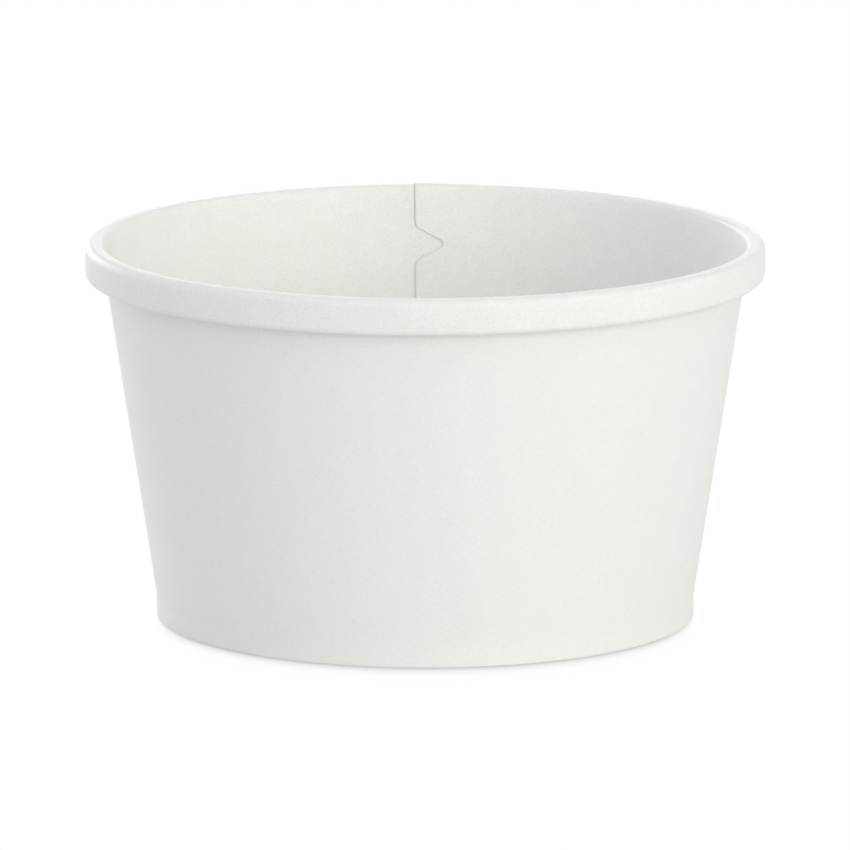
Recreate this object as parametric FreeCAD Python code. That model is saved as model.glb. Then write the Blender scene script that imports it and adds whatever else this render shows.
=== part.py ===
import FreeCAD, Part
import math
import os

# Paper sundae cup: a lapped sidewall with a hemmed foot and a flattened rolled rim, and its bottom disc.
# Lengths are in millimetres and angles in degrees. The axis is +Z, and the foot stands on z = 0.
# The lap seam is at the back, towards +Y.

# Sidewall, measured on its outside
cup_height = 53.6
foot_radius = 38.0
foot_bend_height = 2.3
wall_board = 0.4

# Rim, rolled outwards and pressed flat. It overhangs the neck, which is the wall just under it
rim_radius = 48.0
rim_height = 5.05
rim_overhang = 2.85
rim_inner_fold = 0.1
rim_outer_fold = 0.35
rim_lower_fold = 0.1
rim_tuck_length = 2.4
rim_tuck_clearance = 0.1

# Hem, folded in and up round the skirt of the bottom
hem_height = 5.0

# Lap: the right-hand end of the sheet is the inner ply, and its raw edge shows inside the cup
lap_length = 7.0
lap_edge_offset = 1.4
lap_rim_rise = 0.2
lap_step_length = 1.2
lap_runout_length = 2.4

# Pointed notch in the raw edge of the inner ply, with its depth taken to where its sides would meet
notch_depth = 4.7
notch_height = 5.9
notch_centre_height = 45.25
notch_tip_radius = 0.7
notch_mouth_radius = 1.0

# Bottom disc, with its edge folded down as a skirt
bottom_board = 0.3
bottom_inner_fold = 0.3
floor_clearance = 0.4
skirt_clearance = 0.2
seal_film = 0.05

# How many bevels stand for each rounding of the section
bevels_per_corner = 1

full_turn = 360.0
back_angle = 90.0
origin = FreeCAD.Vector(0, 0, 0)
up = FreeCAD.Vector(0, 0, 1)
outwards = FreeCAD.Vector(1, 0, 0)
backwards = FreeCAD.Vector(0, 1, 0)


def in_section(radius, height):
    return FreeCAD.Vector(radius, 0, height)


def left_of(direction):
    return FreeCAD.Vector(-direction.z, 0, direction.x)


def direction_to(start, end):
    return (end - start).normalize()


def meeting_point(start, direction, other_start, other_direction):
    """Where two lines of the section plane cross."""
    normal = left_of(other_direction)
    return start + direction * (normal.dot(other_start - start) / normal.dot(direction))


def shifted_right(start, direction, distance):
    return start - left_of(direction) * distance


def turned_by(direction, angle):
    return direction * math.cos(angle) + left_of(direction) * math.sin(angle)


def corners_of(points):
    """Each inner corner of a path, with the directions before and after it and the turn between them."""
    for start, corner, end in zip(points, points[1:], points[2:]):
        before = direction_to(start, corner)
        after = direction_to(corner, end)
        yield corner, before, after, math.atan2(left_of(before).dot(after), before.dot(after))


def bevelled(points, radii):
    """The path with its corners cut by bevels that touch the arc of each radius. A radius of 0 is a crease."""
    path = [points[0]]
    for (corner, before, _, turn), radius in zip(corners_of(points), radii):
        bevel_turn = turn / (bevels_per_corner + 1)
        half_bevel = radius * math.tan(abs(bevel_turn) / 2)
        here = corner - before * (radius * math.tan(abs(turn) / 2) - half_bevel)
        path.append(here)
        for step in range(bevels_per_corner if radius else 0):
            here = here + turned_by(before, bevel_turn * (step + 1)) * (2 * half_bevel)
            path.append(here)
    return path + [points[-1]]


def rounded(points, radii):
    """The path as lines and tangent arcs."""
    edges = []
    here = points[0]
    for (corner, before, after, turn), radius in zip(corners_of(points), radii):
        setback = radius * math.tan(abs(turn) / 2)
        middle = corner + (after - before).normalize() * (radius / math.cos(turn / 2) - radius)
        arc = Part.Arc(corner - before * setback, middle, corner + after * setback)
        edges.append(Part.LineSegment(here, arc.StartPoint).toShape())
        edges.append(arc.toShape())
        here = arc.EndPoint
    return edges + [Part.LineSegment(here, points[-1]).toShape()]


def shifted_path(points, distance):
    """The path moved to its right by a distance, with its corners mitred."""
    directions = [direction_to(start, end) for start, end in zip(points, points[1:])]
    moved = [shifted_right(points[0], directions[0], distance)]
    for corner, before, after in zip(points[1:], directions, directions[1:]):
        start = shifted_right(corner, before, distance)
        other_start = shifted_right(corner, after, distance)
        moved.append(meeting_point(start, before, other_start, after))
    return moved + [shifted_right(points[-1], directions[-1], distance)]


def board_section(path, near, far):
    """The outline of board between two distances to the right of a path."""
    outline = shifted_path(path, near) + shifted_path(path, far)[::-1]
    return Part.makePolygon(outline + outline[:1])


def at_angle(shape, angle):
    turned = shape.copy()
    turned.rotate(origin, up, angle)
    return turned


def swept(section, start, end):
    return Part.Face(at_angle(section, start)).revolve(origin, up, end - start)


def blended(section, start, other_section, end):
    return Part.makeLoft([at_angle(section, start), at_angle(other_section, end)], True, True)


# The wall's line in the section plane, on its outside
neck_radius = rim_radius - rim_overhang
neck_height = cup_height - rim_height
bend_point = in_section(foot_radius, foot_bend_height)
wall_slope = direction_to(bend_point, in_section(neck_radius, neck_height))
doubled_board = 2 * wall_board


def on_wall(height, inside_by):
    """The point at a height on the wall's cone, moved inside its outer face by a distance."""
    cone_line = shifted_right(bend_point, wall_slope, -inside_by)
    return meeting_point(cone_line, wall_slope, in_section(0, height), outwards)


def foot_corner(inside_by):
    """Where the upright foot meets the cone, both moved inside the wall's outer face by a distance."""
    cone_line = shifted_right(bend_point, wall_slope, -inside_by)
    return meeting_point(in_section(foot_radius - inside_by, 0), up, cone_line, wall_slope)


def sidewall_path(rim_rise, foot_lift):
    """The food side of the sheet, from the free edge of the hem to the edge that is tucked into the rim."""
    hem_inside_by = wall_board + bottom_board + 2 * seal_film
    fold_level = wall_board + foot_lift
    rim_top = cup_height + rim_rise
    tuck_corner = on_wall(neck_height, -wall_board - rim_tuck_clearance)
    points = [
        on_wall(hem_height, hem_inside_by),
        foot_corner(hem_inside_by),
        in_section(foot_radius - hem_inside_by, fold_level),
        in_section(foot_radius - wall_board, fold_level),
        foot_corner(wall_board),
        on_wall(rim_top, wall_board),
        in_section(rim_radius, rim_top),
        in_section(rim_radius, neck_height),
        tuck_corner,
        tuck_corner + wall_slope * rim_tuck_length,
    ]
    inner_radius = rim_inner_fold + doubled_board
    outer_radius = rim_outer_fold + doubled_board
    lower_radius = rim_lower_fold + doubled_board
    return bevelled(points, [0, 0, 0, 0, inner_radius, outer_radius, lower_radius, lower_radius])


def lap_angle(length):
    """The turn about the axis that a length along the neck of the wall takes."""
    return math.degrees(length / neck_radius)


seam_angle = back_angle + lap_angle(lap_edge_offset)
outer_edge_angle = seam_angle - lap_angle(lap_length)


def raw_edge_cutter():
    """All that lies left of the inner ply's raw edge, with the pointed notch, as seen from the axis."""
    clear_of_board = rim_height
    top = cup_height + clear_of_board
    bottom = -clear_of_board
    edge_points = [
        in_section(0, top),
        in_section(0, notch_centre_height + notch_height / 2),
        in_section(notch_depth, notch_centre_height),
        in_section(0, notch_centre_height - notch_height / 2),
        in_section(0, bottom),
    ]
    edge = rounded(edge_points, [notch_mouth_radius, notch_tip_radius, notch_mouth_radius])
    far_corners = [in_section(-lap_length, bottom), in_section(-lap_length, top)]
    far_side = Part.makePolygon([edge_points[-1], *far_corners, edge_points[0]])
    outline = Part.Wire(edge + far_side.Edges)
    plate = Part.Face(outline).extrude(backwards * (rim_radius + clear_of_board))
    return at_angle(plate, seam_angle - back_angle)


def make_sidewall():
    """The sheet once round, with its left-hand end stepped outwards and lapped over the right-hand end."""
    inner_ply = (0, wall_board)
    outer_ply = (wall_board, doubled_board)
    plain_path = sidewall_path(0, 0)
    lapped_path = sidewall_path(lap_rim_rise, wall_board)
    plain = board_section(plain_path, *inner_ply)
    lapped_inner = board_section(lapped_path, *inner_ply)
    lapped_outer = board_section(lapped_path, *outer_ply)

    step_turn = lap_angle(lap_step_length)
    step_end = seam_angle + step_turn
    runout_end = outer_edge_angle - lap_angle(lap_runout_length)
    single = swept(plain, step_end, runout_end + full_turn)
    step = blended(lapped_outer, seam_angle, plain, step_end)
    outer = swept(lapped_outer, outer_edge_angle, seam_angle)
    inner = swept(lapped_inner, outer_edge_angle, seam_angle + step_turn).cut(raw_edge_cutter())
    runout = blended(plain, runout_end, lapped_inner, outer_edge_angle)
    return single.fuse([step, outer, inner, runout])


def make_bottom_disc():
    """The disc lies just above the hem, and its skirt fills the room between the hem and the wall."""
    inside_by = wall_board + seal_film
    floor_top = hem_height + floor_clearance + bottom_board
    points = [
        in_section(0, floor_top),
        on_wall(floor_top, inside_by),
        foot_corner(inside_by),
        in_section(foot_radius - inside_by, doubled_board + skirt_clearance),
    ]
    path = bevelled(points, [bottom_inner_fold + bottom_board, 0])
    return swept(board_section(path, 0, bottom_board), 0, full_turn)


os.makedirs("parts", exist_ok=True)
make_sidewall().exportStep("parts/sidewall.step")
make_bottom_disc().exportStep("parts/bottom_disc.step")
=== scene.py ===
import math
import bisect
import bmesh
import bpy
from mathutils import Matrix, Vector


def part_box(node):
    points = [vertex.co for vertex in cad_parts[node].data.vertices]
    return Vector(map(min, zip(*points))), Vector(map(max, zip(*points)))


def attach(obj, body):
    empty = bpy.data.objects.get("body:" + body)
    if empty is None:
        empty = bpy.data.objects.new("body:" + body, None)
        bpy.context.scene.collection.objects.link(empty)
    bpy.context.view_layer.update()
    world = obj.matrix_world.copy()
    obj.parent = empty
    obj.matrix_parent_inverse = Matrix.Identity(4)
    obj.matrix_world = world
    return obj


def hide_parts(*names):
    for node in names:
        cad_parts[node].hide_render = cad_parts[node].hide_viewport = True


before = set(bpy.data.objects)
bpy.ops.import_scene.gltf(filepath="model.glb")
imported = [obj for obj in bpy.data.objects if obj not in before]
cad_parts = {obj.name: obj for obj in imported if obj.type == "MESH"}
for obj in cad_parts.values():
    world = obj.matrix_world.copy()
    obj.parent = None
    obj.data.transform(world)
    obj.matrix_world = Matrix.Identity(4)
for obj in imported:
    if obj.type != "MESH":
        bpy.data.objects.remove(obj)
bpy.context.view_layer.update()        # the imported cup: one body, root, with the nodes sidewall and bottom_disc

mm = 0.001
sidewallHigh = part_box("sidewall")[1]
lapRimRise = 0.2 * mm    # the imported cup's rim stands this much higher over the lap


# The sheet of the sidewall, in metres. Its food side faces the axis and wraps over the rim
sheet = {
    "rimRadius": sidewallHigh.x,
    "rimTop": sidewallHigh.z - lapRimRise,
    "board": 0.4 * mm,
    "footRadius": 38.1 * mm,
    "footBendHeight": 2.95 * mm,
    "footBendRadius": 8.0 * mm,
    "rimHeight": 5.05 * mm,
    "rimOverhang": 2.85 * mm,
    "rimInnerRadius": 0.85 * mm,
    "rimOuterRadius": 1.15 * mm,
    "rimLowerRadius": 0.9 * mm,
    "tuckGap": 0.5 * mm,
    "tuckLength": 2.4 * mm,
    "hemHeight": 5.0 * mm,
    "skirtRoom": 0.4 * mm,
    "creaseRadius": 0.06 * mm,
    "creaseSharpness": 0.85,
}

# The lap of its two ends. The right-hand end lies inside, and its raw edge shows as the seam.
# The rise lifts the inner ply towards the axis, and dies away over the reach
lap = {
    "edgeOffset": 1.52 * mm,
    "length": 7.0 * mm,
    "edgeBoard": 0.145 * mm,
    "fullBoardAt": 3.5 * mm,
    "rise": 0.195 * mm,
    "riseReach": 10.0 * mm,
    "riseCurve": 1.15,
    "dipReach": 2.4 * mm,
    "runout": 2.4 * mm,
    "flatBelow": 6.5 * mm,
    "fullRiseAt": 16.0 * mm,
    "notchMiddle": 45.25 * mm,
    "notchHeight": 5.0 * mm,
    "notchDepth": 4.9 * mm,
    "notchTipRadius": 0.62 * mm,
    "notchMouthRadius": 1.2 * mm,
    "notchEnds": 1.7,
}

# How finely the sheet is divided
grid = {
    "seamColumns": 34,
    "seamWidth": 11.0 * mm,
    "bodyColumns": 170,
    "lapColumns": 30,
    "arcStep": math.radians(11),
    "longRow": 3.2 * mm,
    "notchRow": 0.16 * mm,
    "notchStep": math.radians(4),
    "notchMargin": 0.7,
}


def turnLeft(direction):
    return Vector((-direction.y, direction.x))


def crossing(start, direction, otherStart, otherDirection):
    normal = turnLeft(otherDirection)
    return start + direction * (normal.dot(otherStart - start) / normal.dot(direction))


def arcCorner(before, corner, after, radius, step):
    # points of the arc that rounds a corner, evenly spaced by angle
    into = (corner - before).normalized()
    out = (after - corner).normalized()
    turn = math.atan2(turnLeft(into).dot(out), into.dot(out))
    setback = radius * math.tan(abs(turn) / 2)
    side = math.copysign(1, turn)
    centre = corner - into * setback + turnLeft(into) * side * radius
    spoke = (corner - into * setback) - centre
    count = max(2, math.ceil(abs(turn) / step))
    points = []
    for i in range(count + 1):
        angle = turn * i / count
        points.append(centre + spoke * math.cos(angle) + turnLeft(spoke) * math.sin(angle))
    return points


def roundedLine(corners, radii, step):
    points = [corners[0]]
    for i, radius in enumerate(radii):
        points += arcCorner(corners[i], corners[i + 1], corners[i + 2], radius, step)
    return points + [corners[-1]]


neckRadius = sheet["rimRadius"] - sheet["rimOverhang"]
neckHeight = sheet["rimTop"] - sheet["rimHeight"]
bendPoint = Vector((sheet["footRadius"], sheet["footBendHeight"]))
wallSlope = (Vector((neckRadius, neckHeight)) - bendPoint).normalized()
upright = Vector((0, 1))
outward = Vector((1, 0))


def onWall(height, inside):
    # a point of the wall's cone, moved in from its outer face
    start = bendPoint + turnLeft(wallSlope) * inside
    return crossing(start, wallSlope, Vector((0, height)), outward)


def footCorner(inside):
    start = bendPoint + turnLeft(wallSlope) * inside
    return crossing(start, wallSlope, Vector((sheet["footRadius"] - inside, 0)), upright)


def foodSideProfile():
    # radius and height along the food side, from the hem's free edge to the edge tucked into the rim
    board = sheet["board"]
    hemInside = board + sheet["skirtRoom"]
    tuckCorner = onWall(neckHeight, -sheet["tuckGap"])
    corners = [
        onWall(sheet["hemHeight"], hemInside),
        footCorner(hemInside),
        Vector((sheet["footRadius"] - hemInside, board)),
        Vector((sheet["footRadius"] - board, board)),
        footCorner(board),
        onWall(sheet["rimTop"], board),
        Vector((sheet["rimRadius"], sheet["rimTop"])),
        Vector((sheet["rimRadius"], neckHeight)),
        tuckCorner,
        tuckCorner + wallSlope * sheet["tuckLength"],
    ]
    bend = sheet["footBendRadius"] + board
    radii = [
        bend + sheet["skirtRoom"], sheet["creaseRadius"], sheet["creaseRadius"], bend,
        sheet["rimInnerRadius"], sheet["rimOuterRadius"], sheet["rimLowerRadius"], sheet["rimLowerRadius"],
    ]
    return roundedLine(corners, radii, grid["arcStep"])


def divided(points):
    # long straight runs get more stations, closest together beside the notch
    low = lap["notchMiddle"] - lap["notchHeight"] * grid["notchMargin"]
    high = lap["notchMiddle"] + lap["notchHeight"] * grid["notchMargin"]
    stations = [points[0]]
    for start, end in zip(points, points[1:]):
        length = (end - start).length
        here = 0.0
        while length - here > grid["notchRow"] * 1.5:
            point = start.lerp(end, here / length)
            onFoodWall = point.x < neckRadius and low < point.y < high
            step = grid["notchRow"] if onFoodWall else grid["longRow"]
            if here > 0:
                stations.append(point)
            if not onFoodWall and point.x < neckRadius and point.y < low < end.y and low - point.y < step:
                step = max(low - point.y, grid["notchRow"])
            here += step
        stations.append(end)
    return stations


def profileNormals(points):
    # unit normals that point from the food side into the board
    normals = []
    for i, point in enumerate(points):
        before = points[max(i - 1, 0)]
        after = points[min(i + 1, len(points) - 1)]
        into = (point - before).normalized() if i else (after - point).normalized()
        out = (after - point).normalized() if i < len(points) - 1 else into
        along = (into + out).normalized()
        stretch = 1 / max(along.dot(into), 0.5)
        normals.append(-turnLeft(along) * stretch)
    return normals


def sharpened(point, normal):
    # the outside of the hem's two creases is pressed nearly square
    aboveCreases = sheet["board"] + sheet["creaseRadius"] * 1.01
    if point.y > aboveCreases:
        return normal
    squarer = 1 / max(abs(normal.x), abs(normal.y)) - 1
    corner = (sheet["board"] + sheet["creaseRadius"]) / sheet["board"]
    return normal * (1 + sheet["creaseSharpness"] * corner * max(squarer, 0))


profile = divided(foodSideProfile())
normals = [sharpened(point, normal) for point, normal in zip(profile, profileNormals(profile))]
print("sheet profile stations:", len(profile))


def notchOutline():
    # depth of the raw edge's notch against height, from the mouth's lower end to its upper one
    middle, half = lap["notchMiddle"], lap["notchHeight"] / 2
    corners = [
        Vector((0, middle - half * lap["notchEnds"])),
        Vector((0, middle - half)),
        Vector((lap["notchDepth"], middle)),
        Vector((0, middle + half)),
        Vector((0, middle + half * lap["notchEnds"])),
    ]
    radii = [lap["notchMouthRadius"], lap["notchTipRadius"], lap["notchMouthRadius"]]
    return roundedLine(corners, radii, grid["notchStep"])


notch = notchOutline()
notchHeights = [p.y for p in notch]


def notchDepthAt(point):
    if point.x > neckRadius or not notchHeights[0] < point.y < notchHeights[-1]:
        return 0.0
    i = bisect.bisect(notchHeights, point.y)
    low, high = notch[i - 1], notch[i]
    return low.lerp(high, (point.y - low.y) / max(high.y - low.y, 1e-9)).x


girth = 2 * math.pi * neckRadius
seamAngle = math.radians(90) + lap["edgeOffset"] / neckRadius


def turnStations():
    # distance along the neck from the straight raw edge, clockwise seen from above, to the outer ply's end
    seam = [grid["seamWidth"] * i / grid["seamColumns"] for i in range(grid["seamColumns"])]
    start, end = grid["seamWidth"], girth - lap["length"]
    body = [start + (end - start) * i / grid["bodyColumns"] for i in range(grid["bodyColumns"])]
    lapEnd = girth + lap["length"]
    last = [end + (lapEnd - end) * i / grid["lapColumns"] for i in range(grid["lapColumns"] + 1)]
    return seam + body + last


stations = turnStations()


def share(value, none, full):
    # 0 at one value and 1 at the other, smooth between them
    part = min(max((value - none) / (full - none), 0), 1)
    return part * part * (3 - 2 * part)


rimTopEnd = sheet["rimRadius"] - sheet["rimOuterRadius"]
firstWallRow = next(i for i, p in enumerate(profile) if p.y > lap["flatBelow"])
firstBandRow = next(i for i, p in enumerate(profile) if p.x > rimTopEnd)


def riseAt(row):
    # the direction in which the lapped inner ply is lifted at a station, and its share of the full rise
    point = profile[row]
    if row < firstWallRow:
        return Vector((0, 0))
    if row < firstBandRow:
        return -normals[row] * share(point.y, lap["flatBelow"], lap["fullRiseAt"])
    bandLow, bandHigh = neckHeight + sheet["rimLowerRadius"], sheet["rimTop"] - sheet["rimOuterRadius"]
    return upright * share(point.y, bandLow, bandHigh)


rises = [riseAt(row) for row in range(len(profile))]


def boardAt(distance):
    # the sheet is skived thinner towards its raw edge
    part = min(max(distance / lap["fullBoardAt"], 0), 1)
    return lap["edgeBoard"] + (sheet["board"] - lap["edgeBoard"]) * part


def riseBeyond(distance):
    return lap["rise"] * max(1 - max(distance, 0) / lap["riseReach"], 0) ** lap["riseCurve"]


def lapShare(travel):
    # 1 where the plies lie on each other, running out to 0 on both sides
    beyond = share(travel, lap["length"] + lap["runout"], lap["length"])
    before = share(travel, girth - lap["runout"], girth)
    return max(beyond, before)


def rolled(column, row, depth):
    # where a point of the flat sheet goes when it is rolled up, hemmed and curled.
    # depth is 0 on the food side and 1 on the print side
    travel = stations[column]
    point = profile[row].copy()
    if row < firstWallRow and point.y < sheet["board"] * 1.5:
        point.y += sheet["board"] * lapShare(travel)
    notchHere = notchDepthAt(profile[row])
    if travel < girth - grid["seamWidth"]:
        travel += notchHere * max(1 - travel / grid["seamWidth"], 0)
        fromEdge = travel - notchHere
        placed = point + normals[row] * boardAt(fromEdge) * depth + rises[row] * riseBeyond(fromEdge)
    else:
        beyondEdge = travel - girth - notchHere
        under = rises[row] * riseBeyond(beyondEdge) + normals[row] * boardAt(beyondEdge)
        under = under * share(beyondEdge, -lap["dipReach"], 0)
        placed = point + under + normals[row] * sheet["board"] * depth
    angle = seamAngle - travel / neckRadius
    return Vector((placed.x * math.cos(angle), placed.x * math.sin(angle), placed.y))


def meshPiece(bm, name):
    mesh = bpy.data.meshes.new(name)
    bm.to_mesh(mesh)
    bm.free()
    piece = bpy.data.objects.new(name, mesh)
    bpy.context.scene.collection.objects.link(piece)
    return piece


def makeSidewall():
    columns, rows = len(stations), len(profile)
    bm = bmesh.new()
    bmesh.ops.create_grid(bm, x_segments=columns - 1, y_segments=rows - 1, size=1)
    for v in bm.verts:
        v.co.x = round((v.co.x + 1) / 2 * (columns - 1))
        v.co.y = round((v.co.y + 1) / 2 * (rows - 1))
    flat = list(bm.faces)
    thick = bmesh.ops.extrude_face_region(bm, geom=flat, use_keep_orig=True)
    for v in thick["geom"]:
        if isinstance(v, bmesh.types.BMVert):
            v.co.z = 1
    foodFaces, printFaces, edgeFaces = 0, 1, 2
    uv = bm.loops.layers.uv.new("sheet")
    for face in bm.faces:
        depths = {round(v.co.z) for v in face.verts}
        if len(depths) > 1:
            face.material_index = edgeFaces
        else:
            face.material_index = foodFaces if depths == {0} else printFaces
        face.smooth = len(depths) == 1
        for loop in face.loops:
            loop[uv].uv = (stations[round(loop.vert.co.x)], loop.vert.co.y * mm)
    for v in bm.verts:
        v.co = rolled(round(v.co.x), round(v.co.y), v.co.z)
    bmesh.ops.recalc_face_normals(bm, faces=bm.faces)
    return meshPiece(bm, "cup_sidewall")


# The bottom, with its edge folded down as a skirt, in metres
bottom = {
    "board": 0.3 * mm,
    "film": 0.05 * mm,
    "floorGap": 0.4 * mm,
    "foldRadius": 0.6 * mm,
    "skirtEnd": 1.0 * mm,
    "turnSteps": 180,
}


def makeBottom():
    inside = sheet["board"] + bottom["film"]
    floorTop = sheet["hemHeight"] + bottom["floorGap"] + bottom["board"]
    corners = [
        Vector((0, floorTop)),
        onWall(floorTop, inside),
        footCorner(inside),
        Vector((sheet["footRadius"] - inside, bottom["skirtEnd"])),
    ]
    bend = sheet["footBendRadius"] + inside
    line = roundedLine(corners, [bottom["foldRadius"], bend], grid["arcStep"])
    inner = profileNormals(line)
    outline = line + [p + n * bottom["board"] for p, n in zip(line[::-1], inner[::-1])]
    bm = bmesh.new()
    ring = [bm.verts.new((p.x, 0, p.y)) for p in outline]
    edges = [bm.edges.new(pair) for pair in zip(ring, ring[1:])]
    bmesh.ops.spin(bm, geom=ring + edges, cent=(0, 0, 0), axis=(0, 0, 1), angle=math.tau,
                   steps=bottom["turnSteps"], use_merge=True)
    bmesh.ops.remove_doubles(bm, verts=bm.verts, dist=1e-6)
    bmesh.ops.recalc_face_normals(bm, faces=bm.faces)
    for face in bm.faces:
        face.smooth = True
    return meshPiece(bm, "cup_bottom")


def newMaterial(name):
    material = bpy.data.materials.new(name)
    material.use_nodes = True
    nodes = material.node_tree.nodes
    return material, nodes, material.node_tree.links, nodes["Principled BSDF"]


def mathNode(nodes, links, operation, *values):
    # a maths node whose inputs are sockets or constants
    node = nodes.new("ShaderNodeMath")
    node.operation = operation
    for socket, value in zip(node.inputs, values):
        if isinstance(value, (int, float)):
            socket.default_value = value
        else:
            links.new(value, socket)
    return node.outputs[0]


# The board's finishes. Colours are linear reflectances, lengths are in metres and scales are per metre
boardLook = {
    "mottleScale": 260,
    "grainShare": 1.6,
    "mottleShare": 0.25,
    "shadeUpTo": 0.2,
    "colourFrom": 0.8,
    "sheenSpread": 0.06,
    "throughGlow": 0.35,
    "glowDepth": 0.2 * mm,
    # painted shade on the rim's top: the food side's colour is scaled by this there
    "paintedRimTopShade": 0.93,
}
foodFinish = {
    "colour": (0.946, 0.929, 0.893, 1),
    "shade": (0.836, 0.819, 0.785, 1),
    "grainScale": 5200,
    "grainDepth": 0.008 * mm,
    "roughness": 0.45,
    "shine": 0.2,
}
printFinish = {
    "colour": (0.852, 0.842, 0.814, 1),
    "shade": (0.798, 0.789, 0.762, 1),
    "grainScale": 3600,
    "grainDepth": 0.004 * mm,
    "roughness": 0.5,
    "shine": 0.3,
}
edgeFinish = {
    "colour": (0.46, 0.43, 0.39, 1),
    "shade": (0.36, 0.335, 0.30, 1),
    "grainScale": 6000,
    "grainDepth": 0.02 * mm,
    "roughness": 0.85,
    "shine": 0.2,
}


def boardMaterial(name, finish):
    # fibre grain and a faint mottle, which vary the colour, the sheen and the surface together
    material, nodes, links, shader = newMaterial(name)
    shader.inputs["Specular IOR Level"].default_value = finish["shine"]
    shader.inputs["Subsurface Weight"].default_value = boardLook["throughGlow"]
    shader.inputs["Subsurface Radius"].default_value = (1, 1, 1)
    shader.inputs["Subsurface Scale"].default_value = boardLook["glowDepth"]
    coords = nodes.new("ShaderNodeTexCoord")
    grain = nodes.new("ShaderNodeTexNoise")
    grain.inputs["Scale"].default_value = finish["grainScale"]
    grain.inputs["Detail"].default_value = 2
    grain.inputs["Roughness"].default_value = 0.65
    mottle = nodes.new("ShaderNodeTexNoise")
    mottle.inputs["Scale"].default_value = boardLook["mottleScale"]
    mottle.inputs["Detail"].default_value = 3
    for noise in (grain, mottle):
        links.new(coords.outputs["Object"], noise.inputs["Vector"])

    # both noises lie about 0.5, so this keeps the middle of the ramp at 0.5 too
    centre = 0.5 - (boardLook["grainShare"] + boardLook["mottleShare"]) / 2
    mottled = mathNode(nodes, links, "MULTIPLY_ADD", mottle.outputs["Fac"], boardLook["mottleShare"], centre)
    grained = mathNode(nodes, links, "MULTIPLY_ADD", grain.outputs["Fac"], boardLook["grainShare"], mottled)
    ramp = nodes.new("ShaderNodeValToRGB")
    shadeEnd, colourEnd = ramp.color_ramp.elements
    shadeEnd.position, shadeEnd.color = boardLook["shadeUpTo"], finish["shade"]
    colourEnd.position, colourEnd.color = boardLook["colourFrom"], finish["colour"]
    links.new(grained, ramp.inputs["Fac"])
    links.new(ramp.outputs["Color"], shader.inputs["Base Color"])

    sheen = nodes.new("ShaderNodeMapRange")
    sheen.inputs["To Min"].default_value = finish["roughness"] - boardLook["sheenSpread"]
    sheen.inputs["To Max"].default_value = finish["roughness"] + boardLook["sheenSpread"]
    links.new(mottle.outputs["Fac"], sheen.inputs["Value"])
    links.new(sheen.outputs[0], shader.inputs["Roughness"])

    bump = nodes.new("ShaderNodeBump")
    bump.inputs["Strength"].default_value = 1.0
    bump.inputs["Distance"].default_value = finish["grainDepth"]
    links.new(grain.outputs["Fac"], bump.inputs["Height"])
    links.new(bump.outputs["Normal"], shader.inputs["Normal"])
    return material


def paintShadeOnRimTop(material):
    # painted shade: the food side's colour is ramped darker over the rim's inner curl up to its level top, where
    # less light falls from above
    nodes, links = material.node_tree.nodes, material.node_tree.links
    curlStart = sheet["rimTop"] - sheet["rimInnerRadius"]
    curlEnd = sheet["rimTop"] - 0.02 * mm    # where the curl is as good as level
    startRow = next(i for i, p in enumerate(profile) if p.y > curlStart)
    levelRow = next(i for i, p in enumerate(profile) if p.y > curlEnd)
    place = nodes.new("ShaderNodeUVMap")
    place.uv_map = "sheet"
    axes = nodes.new("ShaderNodeSeparateXYZ")
    links.new(place.outputs["UV"], axes.inputs[0])
    tone = nodes.new("ShaderNodeMapRange")
    tone.inputs["From Min"].default_value = startRow * mm    # the UV map counts a millimetre for each row
    tone.inputs["From Max"].default_value = levelRow * mm
    tone.inputs["To Min"].default_value = 1.0
    tone.inputs["To Max"].default_value = boardLook["paintedRimTopShade"]
    links.new(axes.outputs["Y"], tone.inputs["Value"])
    toned = nodes.new("ShaderNodeVectorMath")
    toned.operation = "SCALE"
    shader = nodes["Principled BSDF"]
    links.new(shader.inputs["Base Color"].links[0].from_socket, toned.inputs[0])
    links.new(tone.outputs["Result"], toned.inputs["Scale"])
    links.new(toned.outputs["Vector"], shader.inputs["Base Color"])


print("modelling the sidewall")
sidewall = makeSidewall()
print("sidewall faces:", len(sidewall.data.polygons))
print("modelling the bottom")
cupBottom = makeBottom()
print("finishing the board")
foodSide = boardMaterial("coated_food_side", foodFinish)
printSide = boardMaterial("smooth_print_side", printFinish)
rawEdge = boardMaterial("raw_board_edge", edgeFinish)
bottomSide = boardMaterial("coated_bottom", foodFinish)
# paints shade on the rim's top of the food side
paintShadeOnRimTop(foodSide)
for material in (foodSide, printSide, rawEdge):
    sidewall.data.materials.append(material)
cupBottom.data.materials.append(bottomSide)

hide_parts("sidewall")
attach(sidewall, "root")
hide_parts("bottom_disc")
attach(cupBottom, "root")


# The studio: a pale floor, soft lamps and the photograph's long lens
studio = {
    "floorSize": 6.0,
    "floorColour": (0.80, 0.80, 0.80, 1),
    "domeColour": (0.94, 0.955, 1, 1),
    "domeStrength": 0.86,
    "flagFacing": Vector((0.82, 0.57, 0.0)),
    "flagShade": 0.6,
    "flagEdge": 3.0,
    # reach, depth and start of the painted shadow on the floor before the foot
    "footShadeReach": 1.9 * mm,
    "footShadeDepth": 0.40,
    "footShadeFrom": 20.0 * mm,
    "footSideReach": 0.35 * mm,
    "target": Vector((0, 0, 27.0 * mm)),
    "distance": 1550 * mm,
    "elevation": math.radians(10.95),
    "lens": 463.6,
    "sensor": 36.0,
    "shift": (-0.00035, -0.0001),
    "lampDistance": 1.2,
    "lampSize": 0.55,
}

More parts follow.
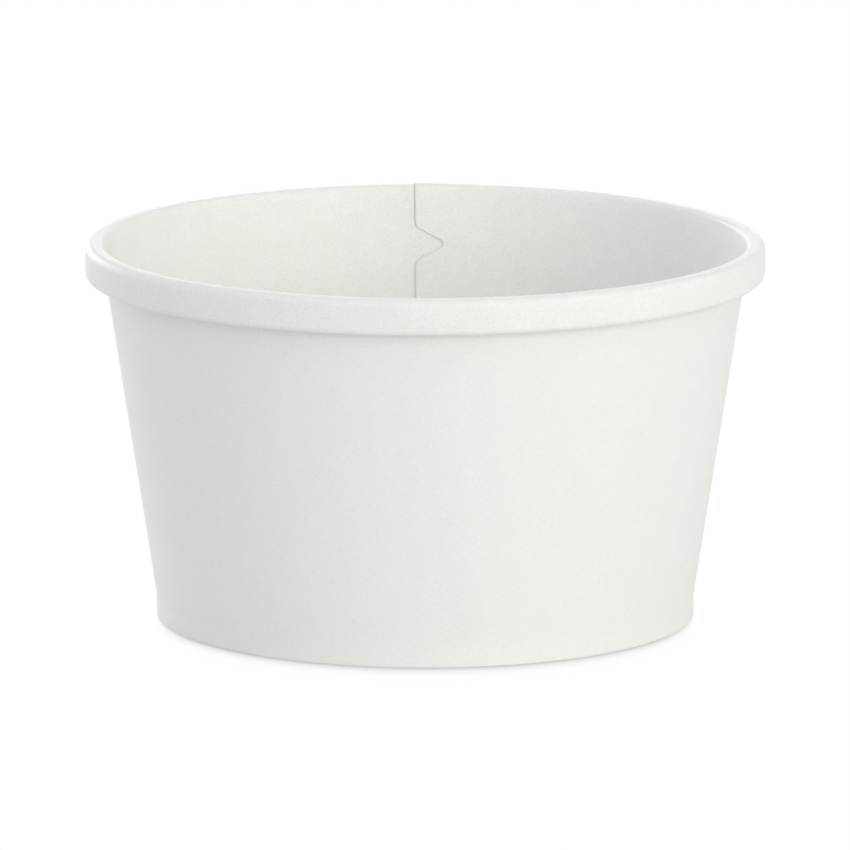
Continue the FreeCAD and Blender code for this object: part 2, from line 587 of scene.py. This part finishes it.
# Each lamp's azimuth and elevation in degrees, its power in watts and its colour.
# Azimuth 0 is in front of the cup, and 90 is to its right
lamps = {
    "key_high": (38, 18, 2.5, (1, 0.95, 0.87)),
    "key_low": (30, 8, 1.5, (1, 1, 0.86)),
    "side": (60, 8, 1.15, (1, 1, 0.95)),
    "left_fill": (-120, 8, 0.75, (0.55, 0.6, 1)),
    "back_left": (-150, 8, 3.6, (0.93, 0.95, 1)),
    "back": (180, 10, 1.2, (1, 0.97, 0.92)),
}


def seenRays(nodes, links):
    # 1 for rays that show the white background: straight, mirrored or through something clear
    path = nodes.new("ShaderNodeLightPath")
    direct, through = path.outputs["Is Camera Ray"], path.outputs["Is Transmission Ray"]
    straight = mathNode(nodes, links, "MAXIMUM", direct, through)
    return mathNode(nodes, links, "MAXIMUM", straight, path.outputs["Is Glossy Ray"])


def paintedFootShadow(nodes, links):
    # a painted shadow on the floor before the foot, not cast by the lamps: 0 in the open, growing towards the
    # foot's front edge
    coords = nodes.new("ShaderNodeTexCoord")
    axes = nodes.new("ShaderNodeSeparateXYZ")
    links.new(coords.outputs["Object"], axes.inputs[0])

    def calc(operation, *values):
        return mathNode(nodes, links, operation, *values)

    radius = sheet["footRadius"]
    across = calc("ABSOLUTE", axes.outputs["X"])
    forward = calc("MULTIPLY", axes.outputs["Y"], -1.0)
    halfChord = calc("SQRT", calc("MAXIMUM", calc("SUBTRACT", radius ** 2, calc("POWER", across, 2.0)), 0.0))
    ahead = calc("MAXIMUM", calc("SUBTRACT", forward, halfChord), 0.0)
    fading = calc("EXPONENT", calc("DIVIDE", ahead, -studio["footShadeReach"]))
    beside = calc("MAXIMUM", calc("SUBTRACT", across, radius), 0.0)
    sideFading = calc("EXPONENT", calc("DIVIDE", beside, -studio["footSideReach"]))
    front = calc("MINIMUM", calc("MAXIMUM", calc("DIVIDE", forward, studio["footShadeFrom"]), 0.0), 1.0)
    shadeHere = calc("MULTIPLY", front, studio["footShadeDepth"])
    return calc("MULTIPLY", calc("MULTIPLY", fading, sideFading), shadeHere)


def makeFloor():
    bm = bmesh.new()
    bmesh.ops.create_grid(bm, x_segments=1, y_segments=1, size=studio["floorSize"] / 2)
    floor = meshPiece(bm, "floor")
    material, nodes, links, shader = newMaterial("pale_floor")
    shader.inputs["Base Color"].default_value = studio["floorColour"]
    shader.inputs["Roughness"].default_value = 0.9
    # camera rays see the floor as white emission, darkened by the painted shadow before the foot
    seen = nodes.new("ShaderNodeEmission")
    links.new(mathNode(nodes, links, "SUBTRACT", 1.0, paintedFootShadow(nodes, links)), seen.inputs["Strength"])
    mix = nodes.new("ShaderNodeMixShader")
    links.new(seenRays(nodes, links), mix.inputs["Fac"])
    links.new(shader.outputs[0], mix.inputs[1])
    links.new(seen.outputs[0], mix.inputs[2])
    links.new(mix.outputs[0], nodes["Material Output"].inputs["Surface"])
    floor.data.materials.append(material)
    return floor


def makeWorld():
    # an even, faintly cool dome of light, dimmed at the right by a dark flag; the camera sees plain white
    world = bpy.data.worlds.new("studio")
    bpy.context.scene.world = world
    world.use_nodes = True
    nodes, links = world.node_tree.nodes, world.node_tree.links
    light = nodes["Background"]
    light.inputs["Color"].default_value = studio["domeColour"]
    coords = nodes.new("ShaderNodeTexCoord")
    facing = nodes.new("ShaderNodeVectorMath")
    facing.operation = "DOT_PRODUCT"
    facing.inputs[1].default_value = studio["flagFacing"]
    links.new(coords.outputs["Generated"], facing.inputs[0])
    ahead = mathNode(nodes, links, "MAXIMUM", facing.outputs["Value"], 0.0)
    flag = mathNode(nodes, links, "POWER", ahead, studio["flagEdge"])
    shaded = mathNode(nodes, links, "MULTIPLY", flag, studio["flagShade"])
    dimmed = mathNode(nodes, links, "SUBTRACT", 1.0, shaded)
    links.new(mathNode(nodes, links, "MULTIPLY", dimmed, studio["domeStrength"]), light.inputs["Strength"])
    seen = nodes.new("ShaderNodeBackground")
    seen.inputs["Color"].default_value = (1, 1, 1, 1)
    mix = nodes.new("ShaderNodeMixShader")
    links.new(seenRays(nodes, links), mix.inputs["Fac"])
    links.new(light.outputs[0], mix.inputs[1])
    links.new(seen.outputs[0], mix.inputs[2])
    links.new(mix.outputs[0], nodes["World Output"].inputs["Surface"])


def addLamp(name, azimuth, elevation, power, colour):
    data = bpy.data.lights.new(name, "AREA")
    data.shape = "DISK"
    data.size = studio["lampSize"]
    data.energy = power
    data.color = colour
    lamp = bpy.data.objects.new(name, data)
    turn, lift = math.radians(azimuth), math.radians(elevation)
    away = Vector((math.sin(turn) * math.cos(lift), -math.cos(turn) * math.cos(lift), math.sin(lift)))
    lamp.location = studio["target"] + away * studio["lampDistance"]
    lamp.rotation_euler = (-away).to_track_quat("-Z", "Y").to_euler()
    bpy.context.scene.collection.objects.link(lamp)
    return lamp


def addCamera():
    data = bpy.data.cameras.new("camera")
    data.sensor_width = studio["sensor"]
    data.lens = studio["lens"]
    data.clip_start, data.clip_end = 0.05, 20
    data.shift_x, data.shift_y = studio["shift"]
    camera = bpy.data.objects.new("camera", data)
    lift = studio["elevation"]
    away = Vector((0, -math.cos(lift), math.sin(lift)))
    camera.location = studio["target"] + away * studio["distance"]
    camera.rotation_euler = (-away).to_track_quat("-Z", "Y").to_euler()
    bpy.context.scene.collection.objects.link(camera)
    bpy.context.scene.camera = camera


print("studio")
makeFloor()
makeWorld()
print("lamps and camera")
for name, values in lamps.items():
    addLamp(name, *values)
addCamera()
bpy.context.scene.view_settings.view_transform = "Standard"
